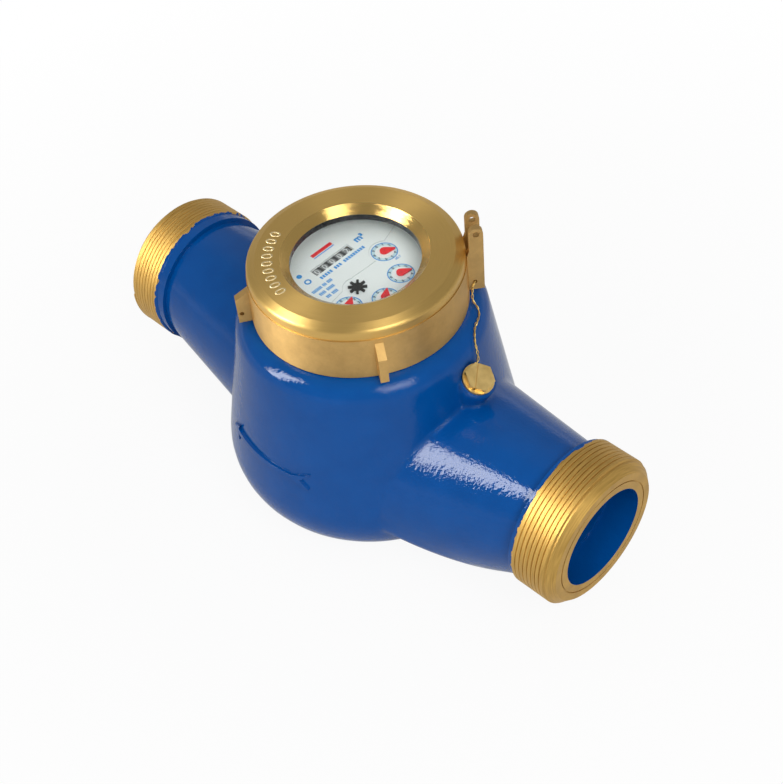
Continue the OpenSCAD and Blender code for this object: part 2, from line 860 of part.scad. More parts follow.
// The arbor above the separator, turned by its magnet, with the first pinion of the train
module coupling_arbor() {
  hub_h = magnet_t;
  color("ivory") {
    arbor_shaft(middle, follower_z, dial_under_z + pin_end - 0.1);
    translate([0, 0, follower_z])
      cylinder(r = 4, h = hub_h);
    gear_at(middle, level_1, 0)
      pinion_outline(coupling_teeth, coupling_m);
  }
}

module follower_magnet() {
  color("dimgray")
    ring(drive_magnet_r, 4 + running / 5, follower_z, magnet_t);
}

module worm_arbor() {
  color("ivory") {
    arbor_shaft(worm_at, plate_z, dial_under_z + pin_end - 0.1);
    gear_at(worm_at, level_6, mesh_turn(pointer_at(1), worm_at, transfer_teeth, transfer_teeth))
      wheel_outline(transfer_teeth, transfer_m);
  }
}

// Two-start worm pressed onto its arbor beside the fastest drum
module counter_worm() {
  worm_len = 6;
  lead = worm_starts * PI * worm_m;
  turns = worm_len / lead;
  root = 1.1;
  lobe_w = 0.4;
  color("goldenrod")
    translate([worm_at[0], worm_at[1], drum_axis_z])
      difference() {
        linear_extrude(worm_len, center = true, twist = 360 * turns, slices = 40, $fn = 12) {
          circle(r = root, $fn = 12);
          for (k = [0 : worm_starts - 1])
            rotate(180 * k + 180 * turns)
              translate([0, -lobe_w / 2])
                square([worm_r + 0.2, lobe_w]);
        }
        cylinder(r = arbor_r + running / 5, h = 2 * worm_len, center = true);
      }
}

module magnet_shield() {
  shield_w = 1.6;
  shield_r = drive_magnet_r + 4;
  color("slategray")
    ring(shield_r + shield_w, shield_r, case_floor_z, magnet_t);
}

// Dry side's floor: a brass disc with a thin dome over the driving magnet and a groove for its seal
seal_groove = 2;
module pressure_plate() {
  r = neck_bore_r - 0.2;
  groove_z = ledge_z + cover_t / 2 - seal_groove / 2;
  color("goldenrod")
    difference() {
      translate([0, 0, ledge_z])
        cylinder(r = r, h = cover_t);
      translate([0, 0, ledge_z - eps])
        cylinder(r = pocket_r, h = pocket_h + eps);
      ring(r + eps, r - seal_groove, groove_z, seal_groove);
    }
}

module cover_seal() {
  bead_r = seal_groove / 2 - 0.05;
  color("black")
    translate([0, 0, ledge_z + cover_t / 2])
      rotate_extrude()
        translate([neck_bore_r - 0.1 - bead_r, 0])
          circle(r = bead_r, $fn = 32);
}

// Lid of the measuring chamber: a plate with a central bearing seat, and a wall up to the dry side's floor
module chamber_cover() {
  wall_t = 3;
  spigot_h = 4;
  plate_top_z = cup_top_z + cover_plate_t;
  color("white")
    difference() {
      union() {
        translate([0, 0, cup_top_z])
          cylinder(r = cup_r, h = cover_plate_t);
        translate([0, 0, cup_top_z - spigot_h])
          cylinder(r = cup_bore_r - 0.2, h = spigot_h + eps);
        ring(cup_r, cup_r - wall_t, plate_top_z - eps, ledge_z - plate_top_z + eps);
      }
      translate([0, 0, cup_top_z - spigot_h - eps])
        cylinder(r = bush_r + running / 2, h = cover_plate_t + spigot_h + 2 * eps);
    }
}

module upper_bearing() {
  color("silver")
    ring(bush_r, shaft_r + running, cup_top_z - 4, cover_plate_t + 4);
}

// Square jets that pass the cup's wall on a tangent, all leaning the same way
module jet_row(z, h, w, lean) {
  for (i = [0 : jet_count - 1])
    rotate([0, 0, i * 360 / jet_count])
      translate([cup_r - cup_wall / 2, 0, z + h / 2])
        rotate([0, 0, lean])
          cube([4 * cup_wall, w, h], center = true);
}

module chamber_cup() {
  color("white")
    difference() {
      union() {
        translate([0, 0, cup_z])
          cylinder(r = cup_r, h = cup_top_z - cup_z);
        translate([0, 0, cup_seat_z + seal_t])
          cylinder(r = cup_flange_r, h = cup_flange_t);
      }
      translate([0, 0, cup_z + cup_floor_t])
        cylinder(r = cup_bore_r, h = cup_top_z);
      translate([0, 0, cup_z - eps])
        cylinder(r = pin_r + running / 2, h = cup_floor_t + 2 * eps);
      jet_row(blade_z, 10, 6, 55);
      jet_row(cup_seat_z + seal_t + cup_flange_t + 6, 12, 8, -50);
    }
}

module chamber_seal() {
  color("black")
    ring(cup_flange_r, partition_r + 0.2, cup_seat_z, seal_t);
}

// Sieve around the cup's lower jets, with an upright slot in front of every other space
module strainer() {
  floor_t = 1.2;
  slots = 24;
  slot_w = 3;
  low = cup_z - floor_t;
  color("silver")
    difference() {
      union() {
        ring(strainer_r, strainer_r - strainer_wall, low, strainer_top_z - low);
        ring(strainer_r - strainer_wall / 2, cup_r - 8, low, floor_t);
      }
      for (i = [0 : slots - 1])
        rotate([0, 0, i * 360 / slots])
          translate([strainer_r - 2 * strainer_wall, -slot_w / 2, cup_z + 4])
            cube([4 * strainer_wall, slot_w, strainer_top_z - cup_z - 8]);
    }
}

module pivot_pin() {
  color("silver")
    translate([0, 0, cup_z])
      cylinder(r = pin_r, h = pin_top_z - cup_z);
}

module impeller() {
  hub_over = 2;
  hub_z = blade_z - hub_over;
  color("white")
    difference() {
      union() {
        translate([0, 0, hub_z])
          cylinder(r = hub_r, h = blade_h + 2 * hub_over);
        translate([0, 0, hub_z + hub_over])
          cylinder(r = shaft_r, h = shaft_top_z - hub_z - hub_over);
        for (i = [0 : blade_count - 1])
          rotate([0, 0, i * 360 / blade_count])
            translate([0, -blade_t / 2, blade_z])
              cube([blade_r, blade_t, blade_h]);
      }
      translate([0, 0, hub_z - eps])
        cylinder(r = pin_r + running, h = pin_top_z - hub_z + loose + eps);
    }
}

module drive_magnet() {
  color("dimgray")
    ring(drive_magnet_r, shaft_r + running / 5, drive_magnet_z, drive_magnet_h);
}

washer_t = 0.8;
plug_flange_t = 1;
// Plug with a low hexagon, a saw cut across its top and a wire hole under the cut
module regulator_plug() {
  hex_turn = 34;
  cut_turn = -51.6;
  cut_off = -2;
  cut_w = 0.8;
  cut_h = 0.5;
  web = 0.2;
  wire_hole_r = 0.9;
  top = washer_t + plug_flange_t + plug_hex_h;
  color("darkgoldenrod")
    on_boss()
      difference() {
        union() {
          translate([0, 0, washer_t - plug_shank_len])
            cylinder(r = plug_shank_r, h = plug_shank_len);
          translate([0, 0, washer_t])
            cylinder(r = plug_flange_r, h = plug_flange_t);
          translate([0, 0, washer_t + plug_flange_t - eps])
            rotate([0, 0, hex_turn])
              cylinder(r = plug_af / sqrt(3), h = plug_hex_h + eps, $fn = 6);
        }
        rotate([0, 0, cut_turn])
          translate([-plug_af, cut_off, 0]) {
            translate([0, -cut_w / 2, top - cut_h])
              cube([2 * plug_af, cut_w, cut_h + eps]);
            translate([0, 0, top - cut_h - web - wire_hole_r])
              rotate([0, 90, 0])
                cylinder(r = wire_hole_r, h = 2 * plug_af);
          }
      }
}

module plug_washer() {
  color("saddlebrown")
    on_boss()
      ring(plug_flange_r - 0.2, plug_shank_r + 0.2, 0, washer_t);
}

module regulating_screw() {
  screw_h = 8;
  slot_w = 1;
  top = -plug_shank_len - 1.5;
  color("goldenrod")
    on_boss()
      difference() {
        translate([0, 0, top - screw_h])
          cylinder(r = screw_bore_r - running, h = screw_h);
        translate([-slot_w / 2, -2 * screw_bore_r, top - 2])
          cube([slot_w, 4 * screw_bore_r, 2 + eps]);
      }
}

// Route of the seal wire from the hinge ear's seal hole down to the hole through the plug
wire_route = [[39, 39, 123], [40, 38.5, 123], [40.5, 36, 122], [42, 34, 121], [44.5, 31.5, 118.5],
  [48.5, 30.5, 116.5], [51, 28.5, 115], [53, 25, 115], [54.5, 21.5, 114.5], [57, 18.5, 113.5],
  [59.5, 16, 111.5], [61.5, 15, 108.5], [62.5, 14.5, 105], [63.5, 12.5, 103.5], [64.5, 11, 102.5]];
wire_sides = 8;

function unit(v) = v / norm(v);
function tangent(i) =
  unit(wire_route[min(i + 1, len(wire_route) - 1)] - wire_route[max(i - 1, 0)]);
function wire_ring(i) =
  let (t = tangent(i), u = unit(cross(t, [0, 0, 1])), v = cross(u, t))
    [for (k = [0 : wire_sides - 1])
      wire_route[i] + wire_d / 2 * (cos(360 * k / wire_sides) * u + sin(360 * k / wire_sides) * v)];

module seal_wire() {
  n = len(wire_route);
  s = wire_sides;
  sides = [for (i = [0 : n - 2], k = [0 : s - 1])
    [i * s + k, i * s + (k + 1) % s, (i + 1) * s + (k + 1) % s, (i + 1) * s + k]];
  start = [for (k = [s - 1 : -1 : 0]) k];
  finish = [for (k = [0 : s - 1]) (n - 1) * s + k];
  color("gold")
    polyhedron([for (i = [0 : n - 1]) each wire_ring(i)], concat([start], sides, [finish]));
}

body();
head_ring();
slip_ring();
glass_lens();
lens_gasket();
register_case();
dial_plate();
dial_screws();
movement_plate();
star_bridge();
counter_bracket();
drum_axle();
pinion_axle();
drum(1);  // drum_1
drum(2);  // drum_2
drum(3);  // drum_3
drum(4);  // drum_4
drum(5);  // drum_5
carry_pinion(1);  // carry_pinion_1
carry_pinion(2);  // carry_pinion_2
carry_pinion(3);  // carry_pinion_3
carry_pinion(4);  // carry_pinion_4
pointer_arbor(1);  // pointer_arbor_1
pointer_arbor(2);  // pointer_arbor_2
pointer_arbor(3);  // pointer_arbor_3
pointer_arbor(4);  // pointer_arbor_4
pointer_hand(1);  // pointer_hand_1
pointer_hand(2);  // pointer_hand_2
pointer_hand(3);  // pointer_hand_3
pointer_hand(4);  // pointer_hand_4
star_wheel();
coupling_arbor();
follower_magnet();
worm_arbor();
counter_worm();
magnet_shield();
pressure_plate();
cover_seal();
chamber_cover();
upper_bearing();
chamber_cup();
chamber_seal();
strainer();
pivot_pin();
impeller();
drive_magnet();
regulator_plug();
plug_washer();
regulating_screw();
seal_wire();
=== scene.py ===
import json
import math
import bpy
from mathutils import Matrix, Vector


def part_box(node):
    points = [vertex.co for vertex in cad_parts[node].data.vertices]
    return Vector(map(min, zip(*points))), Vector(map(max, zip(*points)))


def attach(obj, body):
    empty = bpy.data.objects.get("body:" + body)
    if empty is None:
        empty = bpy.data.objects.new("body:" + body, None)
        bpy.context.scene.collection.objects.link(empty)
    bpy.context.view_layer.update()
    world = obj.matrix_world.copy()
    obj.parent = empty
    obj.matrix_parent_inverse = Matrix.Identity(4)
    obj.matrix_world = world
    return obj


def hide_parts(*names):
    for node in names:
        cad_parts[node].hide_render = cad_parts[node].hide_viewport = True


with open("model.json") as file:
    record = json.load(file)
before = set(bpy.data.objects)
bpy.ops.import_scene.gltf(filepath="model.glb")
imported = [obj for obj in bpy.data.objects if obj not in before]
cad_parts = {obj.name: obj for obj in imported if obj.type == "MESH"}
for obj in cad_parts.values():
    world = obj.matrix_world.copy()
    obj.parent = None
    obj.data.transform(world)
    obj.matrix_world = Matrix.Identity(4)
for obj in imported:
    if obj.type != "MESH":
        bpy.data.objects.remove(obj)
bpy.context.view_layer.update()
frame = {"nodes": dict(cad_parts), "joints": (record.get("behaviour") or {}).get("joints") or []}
nodes = frame["nodes"]
scene = bpy.context.scene
scene.view_settings.view_transform = "Standard"


# Casting: one brass casting with bowl, legs and pipe ends, dipped in thick glossy blue enamel.
# The spigots are turned bare after coating, and the bore stays coated.
# Lengths along the pipe count from the meter's middle, radii from the pipe's axis.
axis_height = 0.056
paint_end, paint_waver = 0.127, 0.004
thread_end = 0.1455
thread_floor = 0.0356
spigot_radius, spigot_least = 0.03759, 0.037
coated_bore = 0.02588
casting_smooth = math.radians(28)
paint_dark, paint_light = (0.0003, 0.056, 0.24), (0.0005, 0.072, 0.3)
spigot_dark, spigot_light = (0.36, 0.2, 0.04), (0.8, 0.52, 0.155)
peel_scale, wave_scale, ragged_scale = 620.0, 75.0, 220.0
tool_stretch = (2600.0, 90.0, 90.0)
enamel_relief, enamel_bump = 0.00022, 0.5
# The enamel fills its inner corners. This fillet grows out from the bowl and fades before the spigots.
fillet_start, fillet_full, fillet_fade, fillet_end = 0.026, 0.036, 0.105, 0.118
crisp_radius, fillet_radius, fillet_left = 0.0002, 0.0045, 0.03


def deselect():
    bpy.ops.object.select_all(action="DESELECT")


def pick(obj):
    """Makes one object the only selected one and the active one."""
    deselect()
    obj.select_set(True)
    bpy.context.view_layer.objects.active = obj


def on_spigot(face):
    """Tells the outside of a spigot, between the paint's end and the thread's end."""
    reach = math.hypot(face.center.y, face.center.z - axis_height)
    return paint_end < abs(face.center.x) < thread_end and reach > spigot_least


casting = bpy.data.objects.new("casting", nodes["body"].data.copy())
scene.collection.objects.link(casting)
pick(casting)
bpy.ops.object.mode_set(mode="EDIT")
bpy.ops.mesh.select_all(action="SELECT")
bpy.ops.mesh.remove_doubles(threshold=1e-6)
bpy.ops.mesh.customdata_custom_splitnormals_clear()
for x in (paint_end, thread_end, -paint_end, -thread_end):
    bpy.ops.mesh.select_all(action="SELECT")
    bpy.ops.mesh.bisect(plane_co=(x, 0, 0), plane_no=(1, 0, 0))
bpy.ops.mesh.select_mode(type="FACE")
bpy.ops.mesh.select_all(action="DESELECT")
bpy.ops.object.mode_set(mode="OBJECT")
for face in casting.data.polygons:
    face.select = on_spigot(face)
bpy.ops.object.mode_set(mode="EDIT")
bpy.ops.mesh.extrude_region()
shrink = thread_floor / spigot_radius
bpy.ops.transform.resize(value=(1, shrink, shrink), center_override=(0, 0, axis_height))
bpy.ops.object.mode_set(mode="OBJECT")
bpy.ops.object.shade_smooth_by_angle(angle=casting_smooth)
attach(casting, "meter_body")
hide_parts("body")


def new_material(name):
    material = bpy.data.materials.new(name)
    material.use_nodes = True
    return material, material.node_tree, material.node_tree.nodes["Principled BSDF"]


def fill_socket(tree, socket, value):
    """Links a socket to another one or gives it a plain value."""
    if isinstance(value, bpy.types.NodeSocket):
        tree.links.new(value, socket)
    else:
        socket.default_value = value


def add(tree, kind, values=None, **settings):
    """Places a shader node; values are its input sockets by name or number."""
    node = tree.nodes.new("ShaderNode" + kind)
    for setting, value in settings.items():
        setattr(node, setting, value)
    for socket, value in (values or {}).items():
        fill_socket(tree, node.inputs[socket], value)
    return node


def maths(tree, operation, a, b=0.0, c=0.0):
    return add(tree, "Math", {0: a, 1: b, 2: c}, operation=operation).outputs[0]


def both_true(tree, a, b):
    return maths(tree, "MULTIPLY", a, b)


def off_axis(tree, a, b):
    """A point's distance from an axis, from its two coordinates across that axis."""
    return maths(tree, "SQRT", maths(tree, "MULTIPLY_ADD", a, a, maths(tree, "MULTIPLY", b, b)))


def ramp(tree, value, start, end, low, high):
    """Goes from low to high while a value goes from start to end."""
    return add(tree, "MapRange", {0: value, 1: start, 2: end, 3: low, 4: high}).outputs[0]


def noise(tree, place, scale=1.0, detail=2.0, roughness=0.5):
    settings = {"Vector": place, "Scale": scale, "Detail": detail, "Roughness": roughness}
    return add(tree, "TexNoise", settings).outputs["Fac"]


def stretched(tree, place, scales):
    return add(tree, "VectorMath", {0: place, 1: scales}, operation="MULTIPLY").outputs[0]


def blend_values(tree, factor, a, b):
    return add(tree, "Mix", {0: factor, 2: a, 3: b}, data_type="FLOAT").outputs[0]


def blend_colours(tree, factor, a, b):
    """Mixes two colours, each one a socket or a plain red, green and blue."""
    node = add(tree, "Mix", {0: factor}, data_type="RGBA")
    for socket, colour in ((node.inputs[6], a), (node.inputs[7], b)):
        fill_socket(tree, socket, (*colour, 1) if isinstance(colour, tuple) else colour)
    return node.outputs[2]


def coat_with(material, *objs):
    for o in objs:
        o.data.materials.clear()
        o.data.materials.append(material)


enamel, tree, shader = new_material("blue_enamel_on_brass")
place = add(tree, "TexCoord").outputs["Object"]
split = add(tree, "SeparateXYZ", {0: place})
along = maths(tree, "ABSOLUTE", split.outputs[0])
radius = off_axis(tree, split.outputs[1], maths(tree, "SUBTRACT", split.outputs[2], axis_height))
ragged = maths(tree, "SUBTRACT", noise(tree, place, ragged_scale, detail=3.0), 0.5)
past_paint = maths(tree, "GREATER_THAN", maths(tree, "MULTIPLY_ADD", ragged, paint_waver, along), paint_end)
bare = both_true(tree, past_paint, maths(tree, "GREATER_THAN", radius, coated_bore))
peel = noise(tree, place, peel_scale, roughness=0.45)
waves = noise(tree, place, wave_scale)
tool_marks = noise(tree, stretched(tree, place, tool_stretch), detail=3.0)
paint_tone = blend_colours(tree, waves, paint_dark, paint_light)
spigot_tone = blend_colours(tree, tool_marks, spigot_dark, spigot_light)
tree.links.new(blend_colours(tree, bare, paint_tone, spigot_tone), shader.inputs["Base Color"])
tree.links.new(bare, shader.inputs["Metallic"])
paint_rough = maths(tree, "MULTIPLY_ADD", peel, 0.05, 0.025)
spigot_rough = maths(tree, "MULTIPLY_ADD", tool_marks, 0.25, 0.36)
tree.links.new(blend_values(tree, bare, paint_rough, spigot_rough), shader.inputs["Roughness"])
paint_height = maths(tree, "MULTIPLY_ADD", waves, 1.6, peel)
soften = ramp(tree, along, fillet_start, fillet_full, crisp_radius, fillet_radius)
sharpen = ramp(tree, along, fillet_fade, fillet_end, 1.0, fillet_left)
fillet = add(tree, "Bevel", {"Radius": maths(tree, "MULTIPLY", soften, sharpen)}, samples=6)
relief = add(tree, "Bump", {"Strength": enamel_bump, "Distance": enamel_relief,
                            "Height": blend_values(tree, bare, paint_height, tool_marks),
                            "Normal": fillet.outputs[0]})
tree.links.new(relief.outputs[0], shader.inputs["Normal"])
shader.inputs["IOR"].default_value = 1.5
shader.inputs["Specular IOR Level"].default_value = 0.22
coat_with(enamel, casting)


# Pipe threads: right-hand parallel thread, eleven turns to the inch, cut into both spigots.
# Each one is a threaded sleeve that lies in the casting's turned band.
thread_pitch, thread_turns, thread_steps = 0.002309, 10, 120
thread_start, thread_crest, thread_depth = 0.1243, 0.0375, 0.00135
# One turn's profile, in shares of the pitch and of the depth.
thread_profile = [(0.0, 0.0), (0.14, 0.0), (0.46, 1.0), (0.68, 1.0), (1.0, 0.0)]
sleeve_wall, sleeve_overlap = 0.0012, 0.0002
thread_smooth = math.radians(40)


def thicken(obj, depth):
    """Gives an open mesh a wall under its face."""
    pick(obj)
    wall = obj.modifiers.new("wall", "SOLIDIFY")
    wall.thickness = depth
    wall.offset = -1
    bpy.ops.object.modifier_apply(modifier="wall")


def fix_place(obj):
    """Puts an object's place, turn and scale into its mesh."""
    pick(obj)
    bpy.ops.object.transform_apply(location=True, rotation=True, scale=True)


def settle(obj, name):
    """Fixes a finished piece's place and gives it its name."""
    fix_place(obj)
    obj.name = name
    obj.data.name = name
    return obj


deselect()
bpy.ops.mesh.primitive_circle_add(vertices=len(thread_profile), radius=thread_crest)
thread = bpy.context.object
bpy.ops.object.mode_set(mode="EDIT")
bpy.ops.mesh.select_mode(type="EDGE")
bpy.ops.mesh.select_all(action="DESELECT")
bpy.ops.object.mode_set(mode="OBJECT")
for edge in thread.data.edges:
    edge.select = set(edge.vertices) == {0, len(thread_profile) - 1}
bpy.ops.object.mode_set(mode="EDIT")
bpy.ops.mesh.delete(type="EDGE")
bpy.ops.object.mode_set(mode="OBJECT")
for v, (share, height) in zip(thread.data.vertices, thread_profile):
    v.co = (thread_start + share * thread_pitch, 0, thread_crest - thread_depth * (1 - height))
screw = thread.modifiers.new("turns", "SCREW")
screw.axis = "X"
screw.screw_offset = thread_pitch
screw.iterations = thread_turns
screw.steps = screw.render_steps = thread_steps
screw.use_merge_vertices = True
screw.merge_threshold = 1e-6
bpy.ops.object.modifier_apply(modifier="turns")
bpy.ops.object.mode_set(mode="EDIT")
bpy.ops.mesh.select_all(action="SELECT")
bpy.ops.mesh.remove_doubles(threshold=2e-6)
bpy.ops.mesh.bisect(plane_co=(paint_end - sleeve_overlap, 0, 0), plane_no=(1, 0, 0), clear_inner=True)
bpy.ops.mesh.select_all(action="SELECT")
bpy.ops.mesh.bisect(plane_co=(thread_end + sleeve_overlap, 0, 0), plane_no=(1, 0, 0), clear_outer=True)
bpy.ops.mesh.select_all(action="SELECT")
bpy.ops.mesh.normals_make_consistent(inside=False)
bpy.ops.object.mode_set(mode="OBJECT")
thicken(thread, sleeve_wall)
thread.location = (0, 0, axis_height)
settle(thread, "inlet_thread")
bpy.ops.object.shade_smooth_by_angle(angle=thread_smooth)
outlet = thread.copy()
outlet.data = thread.data.copy()
scene.collection.objects.link(outlet)
outlet.rotation_euler = (0, 0, math.pi)
settle(outlet, "outlet_thread")
for o in (thread, outlet):
    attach(o, "meter_body")
    coat_with(enamel, o)


# Measuring chamber: moulded cup and cover with a rubber seal, dropped into the bowl inside a
# strainer. The moulded impeller carries a sintered magnet and turns on a steel pin.


def new_group(name, inputs, outputs):
    """A shader node group with named sockets; gives the tree, its input and its output node."""
    tree = bpy.data.node_groups.new(name, "ShaderNodeTree")
    for label, kind, value in inputs:
        socket = tree.interface.new_socket(label, in_out="INPUT", socket_type="NodeSocket" + kind)
        if value is not None:
            socket.default_value = value
    for label, kind in outputs:
        tree.interface.new_socket(label, in_out="OUTPUT", socket_type="NodeSocket" + kind)
    return tree, tree.nodes.new("NodeGroupInput"), tree.nodes.new("NodeGroupOutput")


# Every moulded, cast and drawn surface has this grain: an uneven colour and a fine height.
grain_tree, grain_in, grain_out = new_group(
    "surface_grain",
    [("Position", "Vector", None), ("Size", "Float", 300.0),
     ("Light", "Color", (1, 1, 1, 1)), ("Dark", "Color", (0.5, 0.5, 0.5, 1))],
    [("Colour", "Color"), ("Height", "Float")])
broad_size = maths(grain_tree, "MULTIPLY", grain_in.outputs["Size"], 0.15)
broad = noise(grain_tree, grain_in.outputs["Position"], broad_size, detail=3.0, roughness=0.6)
fine = noise(grain_tree, grain_in.outputs["Position"], grain_in.outputs["Size"], detail=4.0, roughness=0.65)
uneven = maths(grain_tree, "MULTIPLY_ADD", fine, 0.4, maths(grain_tree, "MULTIPLY", broad, 0.6))
tone = blend_colours(grain_tree, ramp(grain_tree, uneven, 0.35, 0.65, 0.0, 1.0),
                     grain_in.outputs["Dark"], grain_in.outputs["Light"])
grain_tree.links.new(tone, grain_out.inputs["Colour"])
grain_tree.links.new(fine, grain_out.inputs["Height"])


def grained(name, light, dark, roughness, metallic=0.0, size=600.0, bump=0.05, depth=0.00005):
    """A material whose colour and height come from the grain group, its constants set on the shader."""
    material, tree, shader = new_material(name)
    place = add(tree, "TexCoord").outputs["Object"]
    grain = add(tree, "Group", {"Position": place, "Size": size, "Light": (*light, 1), "Dark": (*dark, 1)},
                node_tree=grain_tree)
    rough = ramp(tree, grain.outputs["Height"], 0.3, 0.7, roughness * 0.85, roughness * 1.15)
    relief = add(tree, "Bump", {"Strength": bump, "Distance": depth, "Height": grain.outputs["Height"]})
    tree.links.new(grain.outputs["Colour"], shader.inputs["Base Color"])
    tree.links.new(rough, shader.inputs["Roughness"])
    tree.links.new(relief.outputs[0], shader.inputs["Normal"])
    shader.inputs["Metallic"].default_value = metallic
    return material


def coat_nodes(material, *names):
    coat_with(material, *(nodes[name] for name in names))


white_plastic = grained("white_moulding", (0.78, 0.8, 0.79), (0.7, 0.72, 0.72), roughness=0.4, size=500)
grey_plastic = grained("grey_moulding", (0.55, 0.56, 0.57), (0.45, 0.46, 0.47), roughness=0.45)
black_rubber = grained("black_rubber", (0.03, 0.03, 0.031), (0.014, 0.014, 0.015), roughness=0.65, size=900)
steel = grained("slotted_steel", (0.6, 0.61, 0.62), (0.46, 0.47, 0.48),
                roughness=0.3, metallic=1.0, size=1200)
magnet = grained("sintered_magnet", (0.11, 0.11, 0.12), (0.06, 0.06, 0.065),
                 roughness=0.55, metallic=0.4, size=1500)
coat_nodes(white_plastic, "chamber_cup", "chamber_cover", "impeller")
coat_nodes(grey_plastic, "strainer")
coat_nodes(black_rubber, "chamber_seal")
coat_nodes(steel, "pivot_pin", "upper_bearing")
coat_nodes(magnet, "drive_magnet")


# Movement and coupling: a brass plate with a rubber seal closes the wet side. Over it, the white
# register case holds the moulded plates and bridges, the following magnet and the worm's drive.
ivory_light, ivory_dark = (0.72, 0.67, 0.54), (0.62, 0.57, 0.44)
turned_brass = grained("turned_brass", (0.78, 0.55, 0.22), (0.58, 0.37, 0.12),
                       roughness=0.3, metallic=1.0, size=800)
ivory = grained("ivory_moulding", ivory_light, ivory_dark, roughness=0.42, size=700)
coat_nodes(turned_brass, "pressure_plate", "counter_worm")
coat_nodes(black_rubber, "cover_seal")
coat_nodes(white_plastic, "register_case")
coat_nodes(grey_plastic, "movement_plate", "star_bridge", "counter_bracket")
coat_nodes(magnet, "follower_magnet")
coat_nodes(steel, "magnet_shield")
coat_nodes(ivory, "coupling_arbor", "worm_arbor")


# Number drums: grey moulded wheels on a steel axle, with white figures printed round their rims.
# Ivory carry pinions on a second axle gear each drum to the next.
joint_at = {joint["name"]: joint["pos_m"] for joint in frame["joints"]}
drum_x, _, drum_z = joint_at["drum_spin_1"]
readings = (2, 0, 0, 0, 0)
rim_radius, rim_offset = 0.0053, 0.00005
ink_depth = 0.00004
drum_figure_size, drum_figure_width = 0.0052, 0.85


def ink(name, light, dark, roughness=0.4):
    return grained(name, light, dark, roughness, size=900, bump=0.02)


def flat_words(words, size, bold=0.0):
    """Plain figures as a flat mesh that lies at the origin."""
    deselect()
    bpy.ops.object.text_add()
    o = bpy.context.object
    o.data.body = words
    o.data.size = size
    o.data.align_x = "CENTER"
    o.data.align_y = "CENTER"
    o.data.resolution_u = 3
    o.data.offset = bold
    bpy.ops.object.convert(target="MESH")
    return bpy.context.object


def join(pieces):
    """Makes one mesh of several."""
    deselect()
    for o in pieces:
        o.select_set(True)
    bpy.context.view_layer.objects.active = pieces[0]
    bpy.ops.object.join()
    return bpy.context.object


grey_drum = grained("grey_drum_moulding", (0.27, 0.275, 0.28), (0.2, 0.205, 0.21), roughness=0.42, size=800)
white_figure = ink("white_figures", (0.85, 0.86, 0.86), (0.75, 0.76, 0.76), roughness=0.45)
face_radius = rim_radius + ink_depth
for i, reading in enumerate(readings, start=1):
    middle_y = joint_at[f"drum_spin_{i}"][1] - rim_offset
    figures = []
    for k in range(10):
        figure = flat_words(str(k), drum_figure_size)
        turn = 2 * math.pi * (k - reading) / 10
        for v in figure.data.vertices:
            angle = turn + v.co.y / face_radius
            v.co = (drum_x - face_radius * math.sin(angle), middle_y + v.co.x * drum_figure_width,
                    drum_z + face_radius * math.cos(angle))
        figures.append(figure)
    figures = settle(join(figures), f"drum_figures_{i}")
    for face in figures.data.polygons:
        if face.normal.dot(face.center - Vector((drum_x, face.center.y, drum_z))) < 0:
            face.flip()
    thicken(figures, ink_depth)
    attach(figures, f"drum_body_{i}")
    coat_with(white_figure, figures)
    coat_nodes(grey_drum, f"drum_{i}")
coat_nodes(steel, "drum_axle", "pinion_axle")
coat_nodes(ivory, *(f"carry_pinion_{i}" for i in range(1, 5)))


# Dial: a white moulded plate on three pillars, screwed down, with a printed face. Its counter
# side is moulded a little higher, and the edge of that step runs round the flow star and first pointer.
dial_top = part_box("dial_plate")[1].z
star_place = joint_at["star_spin"][:2]
pointer_places = [Vector(joint_at[f"pointer_spin_{i}"][:2]) for i in range(1, 5)]
step_height, step_edge, step_radius = 0.0004, 0.00012, 0.0425
star_clear, pointer_clear = 0.0072, 0.0076
# The step's outline is three arcs, each between two directions in degrees.
rim_arc, star_arc, pointer_arc = (107, 279.5), (240, 160), (282.2, 135)
window_size = (0.0049, 0.0248)
white_light, white_dark = (0.91, 0.93, 0.925), (0.86, 0.885, 0.88)
# Painted shade: grey for the step's faces that are not flat, standing in for the shade along its edge.
painted_edge_shade, edge_slope = (0.56, 0.585, 0.59), 0.97


def arc(centre, reach, start, end, steps):
    """Points on a circle between two directions in degrees."""
    turns = [math.radians(start + (end - start) * k / steps) for k in range(steps + 1)]
    return [(centre[0] + reach * math.cos(a), centre[1] + reach * math.sin(a)) for a in turns]


def tint_where(material, mask, colour):
    """Gives a grained material another colour where a mask is 1."""
    tree = material.node_tree
    base = tree.nodes["Principled BSDF"].inputs["Base Color"]
    tree.links.new(blend_colours(tree, mask, base.links[0].from_socket, colour), base)


outline = (arc((0, 0), step_radius, *rim_arc, 64) + arc(star_place, star_clear, *star_arc, 20)
           + arc(pointer_places[0], pointer_clear, *pointer_arc, 36))
deselect()
bpy.ops.mesh.primitive_circle_add(vertices=len(outline), radius=step_radius, fill_type="NGON")
step = bpy.context.object
for v, place in zip(step.data.vertices, outline):
    v.co = (*place, dial_top)
bpy.ops.object.mode_set(mode="EDIT")
bpy.ops.mesh.select_all(action="SELECT")
bpy.ops.mesh.extrude_region()
bpy.ops.transform.translate(value=(0, 0, step_height))
bpy.ops.mesh.select_all(action="SELECT")
bpy.ops.mesh.normals_make_consistent(inside=False)
bpy.ops.object.mode_set(mode="OBJECT")
deselect()
bpy.ops.mesh.primitive_cube_add(size=1, location=(drum_x, 0, dial_top))
opening = bpy.context.object
opening.scale = (*window_size, step_height * 4)
pick(step)
cut = step.modifiers.new("counter_window", "BOOLEAN")
cut.object = opening
bpy.ops.object.modifier_apply(modifier="counter_window")
soft_edge = step.modifiers.new("edge", "BEVEL")
soft_edge.width = step_edge
soft_edge.segments = 2
bpy.ops.object.modifier_apply(modifier="edge")
bpy.data.objects.remove(opening)
settle(step, "dial_step")
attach(step, "meter_body")
